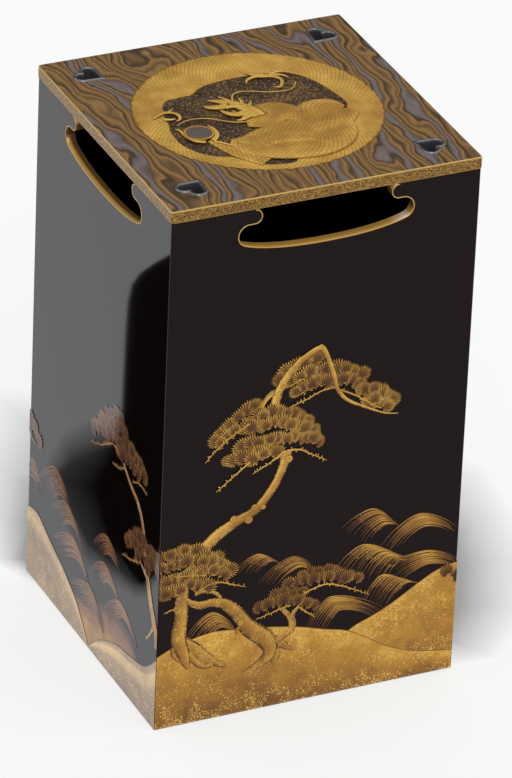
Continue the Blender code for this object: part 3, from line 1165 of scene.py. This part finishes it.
def makeGrainGroup(values):
    # how far across the bands of the grain a spot lies, with knots that pull the bands round them
    tree, entry = openGroup("woodGrain", {"Pitch": 9.5})
    place = objectPlace(tree)

    def stretched(scale, detail):
        moved = addNode(tree, "VectorMath", {0: place, 1: (*scale, 1.0)}, operation="MULTIPLY")
        return addNoise(tree, moved.outputs[0], 1.0, detail)

    x, y = [times(tree, part, 1000.0) for part in addParts(tree, place)[:2]]
    total = addMath(tree, "DIVIDE", x, entry["Pitch"])
    for scale, strength in values["waves"]:
        moved = addMath(tree, "SUBTRACT", stretched(scale, 0.0), 0.5)
        total = addMath(tree, "MULTIPLY_ADD", moved, strength, total)
    for knotX, knotY, wide, tall, strength in values["knots"]:
        dx = addMath(tree, "DIVIDE", addMath(tree, "SUBTRACT", x, knotX), wide)
        dy = addMath(tree, "DIVIDE", addMath(tree, "SUBTRACT", y, knotY), tall)
        square = addMath(tree, "ADD", times(tree, dx, dx), times(tree, dy, dy))
        swell = addMath(tree, "EXPONENT", times(tree, square, -0.5))
        total = addMath(tree, "MULTIPLY_ADD", swell, strength, total)
    seed = addNode(tree, "TexWhiteNoise", {"W": addMath(tree, "FLOOR", total)}, noise_dimensions="1D")
    return closeGroup(tree, {
        "Band": addMath(tree, "FRACT", total), "Share": seed.outputs["Value"],
        "Streak": stretched(values["streak"], 2.0)})


def makeBoardMaterial(values):
    material, tree, shader = newMaterial("gildedGrain")
    grain = placeGroup(tree, makeGrainGroup(values), Pitch=values["pitch"])
    streak = addMath(tree, "SUBTRACT", grain["Streak"], 0.5)
    band = addMath(tree, "MULTIPLY_ADD", streak, 0.22, grain["Band"])
    warm, cold = [
        addRamp(tree, band, [(stop, values[label]) for stop, label in values[name]])
        for name in ("warm", "cold")]
    wood = addMix(tree, addMath(tree, "GREATER_THAN", grain["Share"], 0.58), warm, cold)
    place = objectPlace(tree)
    patch = addBlend(tree, addNoise(tree, place, 38.0, 2.0), 0.0, 0.28)
    wood = addMix(tree, patch, wood, values["ochre"])
    flakes = placeGroup(tree, dustGroup, Density=0.52, Grain=0.55)
    fine = placeGroup(tree, dustGroup, Density=0.55, Grain=0.40)
    bright, faint = times(tree, flakes["Mask"], flakes["Tone"]), times(tree, fine["Mask"], 0.35)
    speckle = addMath(tree, "MAXIMUM", bright, faint)
    ground = addMix(tree, fine["Tone"], values["edgeDeep"], values["edge"])
    edge = addMix(tree, speckle, ground, values["edgeFlake"])
    height = addParts(tree, place)["Z"]
    for side, limit, strength in (("GREATER_THAN", 0.30232, 0.85), ("LESS_THAN", 0.29685, 0.55)):
        arris = times(tree, addMath(tree, side, height, limit), strength)
        edge = addMix(tree, arris, edge, values["arris"])
    facing = addMath(tree, "GREATER_THAN", facetNormal(tree)["Z"], 0.9)
    feed(shader, Base_Color=addMix(tree, facing, edge, wood), Roughness=values["roughness"])
    feed(shader, Metallic=addBlend(tree, facing, 0.4, 0.15))
    feed(shader, Coat_Weight=addBlend(tree, facing, 0.1, values["coat"]), Coat_Roughness=0.12)
    feed(shader, Normal=addBump(tree, speckle, 0.2, 0.0001))
    return material


boardMaterial = makeBoardMaterial(boardSettings)
print("stage: lid board")

# Round panel on the lid: a coiled dragon, its jewel and claws in gold on a dusted ground

dragonSettings = {
    "centre": 85.4,
    "radius": 64.2,
    "field": [
        (40, 100), (41, 104.5), (45, 110), (50, 111.5), (60, 112), (66, 116.5), (72, 119.5), (80, 121),
        (92, 121.8), (104, 121.6), (112, 120), (119, 116), (124, 109), (127.8, 99), (129.6, 90),
        (131, 82), (130.6, 76), (126.8, 70.6), (116, 66), (106, 56), (92, 44), (84, 33), (81, 28.4),
        (77, 27.4), (71, 28.2), (65, 30.4), (61.6, 34), (58, 38.4), (52, 43.6), (47, 45.8), (42, 49),
        (37.4, 55), (34.4, 62), (33.4, 70), (34.4, 80), (36.6, 87), (37.2, 93), (38.6, 97),
    ],
    "coils": [
        [(92, 66, 9), (86, 72, 10), (82.6, 79, 9), (81.4, 84, 6)],
        [(66, 32, 9), (57.4, 45, 9.6), (53.4, 52, 7), (50.4, 58, 4.6), (48.4, 62.6, 3)],
        [(103, 63, 7), (107.6, 71, 18), (114, 75.4, 20), (121, 75, 18), (126, 71, 8)],
        [(79, 66, 14), (84, 74, 20), (91, 80.2, 22), (98, 77, 18), (102, 70, 10), (104, 64, 4)],
        [
            (58, 58, 4), (68, 55.6, 13), (80, 57, 20), (94, 58.6, 22), (108, 59, 20), (120, 62, 16),
            (130, 68, 9),
        ],
        [
            (59, 57.4, 5), (62.4, 49.6, 11), (69, 44.6, 16), (80, 41, 20), (94, 39.2, 22),
            (106, 42.6, 22), (115, 49, 18), (121, 56, 10), (124, 62, 3),
        ],
        [(71, 47, 3), (77, 51, 8), (86, 51.6, 10), (95, 48.6, 8), (102, 43, 3)],
    ],
    "head": [
        [
            (82.6, 78, 9), (81.6, 84, 8.6), (79, 90, 7.8), (74.6, 95.4, 6.4), (69.4, 99.6, 4),
            (64.8, 102.4, 0.8),
        ],
        [(79.4, 84.6, 5), (74.6, 83.2, 4.8), (70.4, 84.2, 4), (67.8, 87.4, 2.6), (66.6, 90.2, 0.7)],
        [(77.6, 92.6, 5.2), (71, 93.4, 5.2), (65.8, 93.8, 4.4), (62, 95.2, 3.2), (60.4, 97.4, 0.9)],
        [(80, 82, 5), (75.6, 78.8, 3.6), (72.2, 77, 1.8), (69.6, 77.4, 0.5)],
        [(76.4, 94.8, 2.4), (74.4, 99.6, 1.7), (71.4, 104, 0.5)],
        [(80.6, 88.6, 3.2), (83.6, 91.6, 1.9), (85.2, 94, 0.5)],
        [(79.4, 92, 2.6), (80.6, 95.6, 1.6), (80.4, 98.6, 0.5)], [(70.8, 91.4, 1.2), (70.2, 89.4, 0.4)],
        [(68.4, 91.8, 1.2), (67.9, 90, 0.4)], [(72.6, 85.4, 1.2), (72, 87.4, 0.4)],
    ],
    "eye": (72.8, 94.2, 1.2),
    "whiskers": [
        [
            (76, 96, 1), (79, 103, 1.1), (84, 105.2, 1.2), (90, 103.6, 1.2), (97, 100.2, 1.2),
            (104, 98.6, 1.2), (110, 99, 1.1), (114, 103, 0.9), (115.6, 106.4, 0.5),
        ],
        [
            (75, 73.6, 1.1), (68, 75.4, 1.2), (62, 79.6, 1.2), (57, 83.6, 1.2), (50, 85.6, 1.1),
            (44, 84.8, 0.9), (39, 81.6, 0.6),
        ],
    ],
    "claws": [
        [
            (95, 125.6, 0.6), (101, 119.6, 4.2), (107, 117, 3.6), (110.2, 112.4, 2.2),
            (108.8, 107.4, 1.8), (106, 104.2, 1.5), (103.6, 105.4, 0.5),
        ],
        [(103.6, 119.6, 3), (97, 118.6, 2.4), (93.2, 116.6, 1.5), (91.4, 113.2, 0.5)],
        [(106, 118.6, 2.6), (111, 117.2, 2), (113.6, 114.8, 1.4), (114.6, 112, 0.5)],
        [(107, 120, 2.2), (114.6, 119.8, 1.5), (118, 116.4, 0.5)],
        [
            (30.6, 93.6, 0.6), (34.6, 96.6, 3), (38, 98, 3), (42.6, 96.8, 2.4), (44.6, 92.6, 2),
            (43.4, 88.8, 1.3), (41, 87.4, 0.5),
        ],
        [(35.6, 91.6, 2.6), (38.8, 90, 1.8), (41.4, 89.8, 0.6)], [(41, 98, 1.8), (44.8, 100.4, 0.5)],
        [(45.6, 61.4, 2.8), (41, 64.6, 2.4), (38.8, 70.6, 2), (38.4, 76.4, 1.6), (36.8, 79.4, 0.5)],
        [(49.6, 61.6, 3), (53.8, 66, 2.6), (55.2, 72, 2), (53.8, 77.6, 0.7)],
        [(50, 60.6, 1.6), (53.6, 57, 1.3), (57.4, 52, 0.5)],
    ],
    "jewel": (46.2, 71.2, 6.4),
    "jewelRing": 7.9,
    "ground": (0.032, 0.018, 0.01),
    "groundDust": (0.36, 0.205, 0.062),
    "jewelColour": (0.2, 0.165, 0.135),
    "jewelLine": (0.055, 0.042, 0.033),
    "ring": [(0, 0.42), (0.04, 0.88), (0.5, 0.89), (0.95, 0.84), (1, 0.42)],
    "fieldLift": 0.05,
    "ringTurns": 300,
    "ringLeast": 4,
    "ringLift": (0.1, 0.25),
    "scallop": 0.7,
    "scallops": 30,
    "bodyLift": 0.38,
    "coilLift": 0.05,
    "partLift": 0.03,
    "partDust": 0.2,
    "eyeLift": 0.16,
    "settingLift": -0.1,
    "eyeRings": [(0, 0, 0.1), (0.5, 0, 0.1), (0.7, 0.05, 1), (1, 0, 0.6)],
    "settingRings": [(0, 0, 0.3), (0.8, 0, 0.3), (0.9, 0.1, 0.9), (1, 0, 0.5)],
    "jewelRings": [(0, 0.5, 0.05), (0.35, 0.45, 0.2), (0.7, 0.3, 0.37), (1, 0, 0.54)],
}
partProfile = [
    (-1.1, -0.02, 0.22), (-0.98, 0, 0.52), (-0.72, 0.14, 0.96), (0, 0.2, 0.84), (0.72, 0.14, 0.92),
    (0.98, 0, 0.52), (1.1, -0.02, 0.22),
]
coilProfile = [
    (-1.02, -0.02, 0.62), (-0.97, 0, 0.68), (-0.86, 0.1, 0.88), (-0.3, 0.26, 0.82), (0.3, 0.26, 0.78),
    (0.86, 0.1, 0.84), (0.97, 0, 0.68), (1.02, -0.02, 0.62),
]


def drawField(values):
    # dark dusted ground showing inside the ring
    sheet = newSheet(topSize)
    centre, level = values["centre"], values["fieldLift"]
    middle = addPoint(sheet, centre, centre, level, 0.0)
    fillRing(sheet, middle, addRing(sheet, centre, centre, values["radius"] - 2.0, level, 0.0, 96))
    material, tree, shader = newMaterial("dustedGround")
    thick = addRange(tree, addNoise(tree, objectPlace(tree), 36.0, 2.0), 0.36, 0.62, 0.10, 0.80)
    flakes = placeGroup(tree, dustGroup, Density=thick, Grain=0.7)
    strength = times(tree, flakes["Mask"], addBlend(tree, flakes["Tone"], 0.2, 1.0))
    feed(shader, Base_Color=addMix(tree, strength, values["ground"], values["groundDust"]), Roughness=0.3)
    feed(shader, Coat_Weight=0.5, Coat_Roughness=0.1)
    finishSheet(sheet, "medallion_ground", "top", material)


def drawRing(values):
    # the coiled body: wide at the back, narrow at the left, its inner edge follows the dark field
    sheet = newSheet(topSize)
    centre, radius, turns = values["centre"], values["radius"], values["ringTurns"]
    level, rise = values["ringLift"]
    spots = [(u - centre, v - centre) for u, v in smoothLine([*values["field"], values["field"][0]])]
    rows = []
    for index in range(turns + 1):
        angle = 2 * math.pi * index / turns
        gap, inner = min(
            (abs((math.atan2(y, x) - angle + math.pi) % (2 * math.pi) - math.pi), number)
            for number, (x, y) in enumerate(spots))
        best = min(math.hypot(*spots[inner]), radius - values["ringLeast"])
        scallop = values["scallop"] * abs(math.sin(angle * values["scallops"]))
        row = []
        for share, shade in values["ring"]:
            reach = best + (radius + scallop - best) * share
            row.append(addPoint(
                sheet, centre + math.cos(angle) * reach, centre + math.sin(angle) * reach,
                level + rise * math.sin(math.pi * share), shade, 0.0, angle * radius, reach))
        rows.append(row)
    joinRows(sheet["faces"], rows, True)
    finishSheet(sheet, "medallion_ring", "top", scaledGold)


def drawDragon(values):
    body = newSheet(topSize)
    level = values["bodyLift"]
    for rows in values["coils"]:
        addStroke(body, smoothLine(rows, 8), level, coilProfile)
        level += values["coilLift"]
    finishSheet(body, "medallion_body", "top", scaledGold)
    parts = newSheet(topSize)
    for rows in values["claws"]:
        addStroke(parts, smoothLine(rows, 7), level, partProfile, values["partDust"])
        level += values["partLift"]
    for rows in values["head"]:
        level += values["partLift"]
        addStroke(parts, smoothLine(rows, 7), level, partProfile, values["partDust"])
    addDisc(parts, *values["eye"], level + values["eyeLift"], values["eyeRings"], 12)
    for rows in values["whiskers"]:
        addStroke(parts, smoothLine(rows, 8), level, twigProfile)
    u, v, radius = values["jewel"]
    setting = level + values["settingLift"]
    addDisc(parts, u, v, values["jewelRing"], setting, values["settingRings"], 28)
    finishSheet(parts, "medallion_head", "top", fineGold)
    jewel = newSheet(topSize)
    addDisc(jewel, u, v, radius, level, values["jewelRings"], 28)
    material, tree, shader = newMaterial("greyJewel")
    turns = times(tree, pointValue(tree, "shade"), 62.0)
    rings = addMath(tree, "GREATER_THAN", addMath(tree, "SINE", turns), 0.3)
    feed(shader, Base_Color=addMix(tree, rings, values["jewelColour"], values["jewelLine"]))
    feed(shader, Roughness=0.35, Metallic=0.3, Coat_Weight=0.6, Coat_Roughness=0.1)
    finishSheet(jewel, "medallion_jewel", "top", material)


drawField(dragonSettings)
drawRing(dragonSettings)
drawDragon(dragonSettings)
print("stage: round panel")

# Gilded edges of the hand openings

openingSettings = {
    "handWidth": 96.2,
    "lugRadius": 4.1,
    "lobeRadius": 5.8,
    "notchRun": 2.7,
    "lipSag": 5.2,
    "lipAngle": 19,
    "wall": 5.2,
    "line": 0.55,
    "proud": 0.035,
    "colour": (0.66, 0.39, 0.085),
    "wornAndShaded": (0.44, 0.245, 0.052),
    "glint": (1, 0.9, 0.66),
    # share of painted shade on the lower inner wall of the openings, per face
    "shadedInside": {"front": 0.15, "right": 0.3, "back": 0.3, "left": 0.9},
    "shaded": (0.1, 0.052, 0.018),
    "metallic": 0.3,
    "roughness": 0.32,
}


def handOutline(values):
    # the opening from the top of the wall round its lower lip, measured down from the wall's top
    def turn(x, y, radius, start, stop):
        angles = [start + (stop - start) * k / 20 for k in range(21)]
        return [(x + math.cos(angle) * radius, y + math.sin(angle) * radius) for angle in angles]

    lip, lug, lobe = math.radians(values["lipAngle"]), values["lugRadius"], values["lobeRadius"]
    lobeX, lobeY = values["handWidth"] / 2 - lobe, 2 * lug + lobe
    half = turn(lobeX - values["notchRun"], lug, lug, -math.pi / 2, -3 * math.pi / 2)
    half += turn(lobeX, lobeY, lobe, -math.pi / 2, math.pi / 2 - lip)
    joinX, joinY = half[-1]
    low = joinY + values["lipSag"]
    controlX = joinX - values["lipSag"] / math.tan(lip)
    for k in range(1, 19):
        t = k / 18
        half.append((
            (1 - t) ** 2 * joinX + 2 * t * (1 - t) * controlX,
            (1 - t) ** 2 * joinY + 2 * t * (1 - t) * low + t * t * low))
    return half + [(-x, y) for x, y in reversed(half[:-1])]


# gilt with random worn patches, a painted highlight in the glint colour where the lip turns up into a
# lobe, and painted shade in the shaded colour on side-facing walls and on the lower inner wall, where the
# points' dust value holds the share of painted shade
def makeGiltMaterial(values):
    material, tree, shader = newMaterial("giltEdge")
    cloud = addNoise(tree, objectPlace(tree), 160.0, 2.0)
    gilt = addMix(tree, addBlend(tree, cloud, 0.1, 0.5), values["colour"], values["wornAndShaded"])
    turned = facetNormal(tree)
    rising = addRange(tree, turned["Z"], 0.15, 0.7)
    inward = addRange(tree, turned["X"], -0.20, -0.32)
    steep = addRange(tree, turned["X"], -0.72, -0.45)
    shine = times(tree, times(tree, inward, rising), steep)
    gilt = addMix(tree, times(tree, shine, 0.85), gilt, values["glint"])
    kept = times(tree, rising, addMath(tree, "SUBTRACT", 1.0, pointValue(tree, "dust")))
    lit = addMath(tree, "MAXIMUM", kept, pointValue(tree, "shade"))
    feed(shader, Base_Color=addMix(tree, lit, values["shaded"], gilt))
    feed(shader, Metallic=values["metallic"], Roughness=values["roughness"])
    return material


def makeOpenings(values):
    whole = handOutline(values)
    material = makeGiltMaterial(values)
    middle, top = sideSize[0] / 2, sideSize[1]
    line, proud, wall = values["line"], values["proud"], values["wall"]
    for faceName in ("front", "right", "back", "left"):
        shadedInside = values["shadedInside"][faceName]
        section = (
            (line, 0.01, 0.0), (line * 0.8, 0.09, 0.0), (0.10, 0.09, 0.0), (-proud, 0.02, 0.0),
            (-proud, -wall * 0.40, 0.0), (-proud, -wall * 0.55, shadedInside),
            (-proud, -wall - 0.02, shadedInside))
        sheet = newSheet((sideSize[0], top + 0.1))
        rows = []
        for index, (x, y) in enumerate(whole):
            dx, dy = direction(whole, index)
            rows.append([
                addPoint(
                    sheet, middle + x + dy * grow, top - y + dx * grow, lift, float(grow > 0), wornAndShaded)
                for grow, lift, wornAndShaded in section])
        joinRows(sheet["faces"], rows, True)
        finishSheet(sheet, faceName + "_gilt_edge", faceName, material)


makeOpenings(openingSettings)
print("stage: opening edges")

# Heart eyelets

eyeletSettings = {
    "width": 15.8,
    "inset": 20.8,
    "reach": 85.4,
    "profile": [
        (-0.9, 297.2), (-0.9, 303.1), (-0.84, 303.5), (-0.6, 303.82), (-0.2, 304), (0.2, 303.98),
        (0.55, 303.76), (0.76, 303.42), (0.8, 303.12),
    ],
    "lobeShare": 0.262,
    "tipShare": 0.65,
    "silver": (0.2, 0.2, 0.21),
    "tarnish": (0.1, 0.1, 0.105),
    "inside": (0.046, 0.047, 0.054),
}


def heartOutline(values, offset):
    # closed outline of the heart grown by the offset, tip towards -Y, in millimetres
    width = values["width"]
    radius = values["lobeShare"] * width
    centreX = width / 2 - radius
    tipDepth = values["tipShare"] * width
    slope = math.atan2(centreX, tipDepth) + math.asin(radius / math.hypot(centreX, tipDepth))
    grown = radius + offset
    notchY = math.sqrt(radius ** 2 - centreX ** 2)
    half = []
    if offset < 0:
        start = math.atan2(notchY, -centreX)
        for k in range(5):
            angle = -math.pi / 2 + (start - math.pi / 2) * k / 5
            half.append((-offset * math.cos(angle), notchY - offset * math.sin(angle)))
    else:
        start = math.pi - math.acos(centreX / grown)
    for k in range(25):
        angle = start + (-slope - start) * k / 24
        half.append((centreX + math.cos(angle) * grown, math.sin(angle) * grown))
    if offset > 0:
        for k in range(1, 6):
            angle = -slope + (slope - math.pi / 2) * k / 5
            half.append((math.cos(angle) * offset, -tipDepth + math.sin(angle) * offset))
    else:
        half.append((0.0, -tipDepth - offset / math.sin(slope)))
    half = evenLine(half, 30)
    middle = (values["lobeShare"] - values["tipShare"]) * width / 2
    loop = half + [(-x, y) for x, y in reversed(half[1:-1])]
    return [(x, y - middle) for x, y in loop]


def makeEyeletMaterial(values):
    material, tree, shader = newMaterial("tarnishedSilver")
    place = objectPlace(tree)
    spot = addRange(tree, addNoise(tree, place, 260.0, 3.0), 0.50, 0.75)
    colour = addMix(tree, spot, values["silver"], values["tarnish"])
    # the colour fades to a dark grey and the metal drops further down inside the hole
    deep = addRange(tree, addParts(tree, place)["Z"], 0.3034, 0.3020)
    feed(shader, Base_Color=addMix(tree, deep, colour, values["inside"]))
    feed(shader, Metallic=addBlend(tree, deep, 0.75, 0.1), Roughness=0.22)
    return material


def makeEyelets(values, material):
    centre = values["reach"] - values["inset"]
    for name, signX, signY in (
            ("front_left", -1, -1), ("front_right", 1, -1), ("back_left", -1, 1), ("back_right", 1, 1)):
        turn = math.atan2(signY, signX) - math.pi / 2
        cos, sin = math.cos(turn), math.sin(turn)
        verts, loops, quads = [], [], []
        for offset, height in values["profile"]:
            start = len(verts)
            for x, y in heartOutline(values, offset):
                spot = (centre * signX + x * cos - y * sin, centre * signY + x * sin + y * cos, height)
                verts.append([part * mm for part in spot])
            loops.append([*range(start, len(verts)), start])
        joinRows(quads, loops)
        item = makeMesh("eyelet_" + name, verts, quads, material, True)
        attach(item, bodyName)
        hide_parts("heart_eyelet_" + name)


eyeletMaterial = makeEyeletMaterial(eyeletSettings)
makeEyelets(eyeletSettings, eyeletMaterial)
cadMaterials = {"box": blackLacquer, "top_board": boardMaterial}
for name, item in frame["nodes"].items():
    item.data.materials.clear()
    item.data.materials.append(cadMaterials.get(name, eyeletMaterial))
print("stage: eyelets and slots")
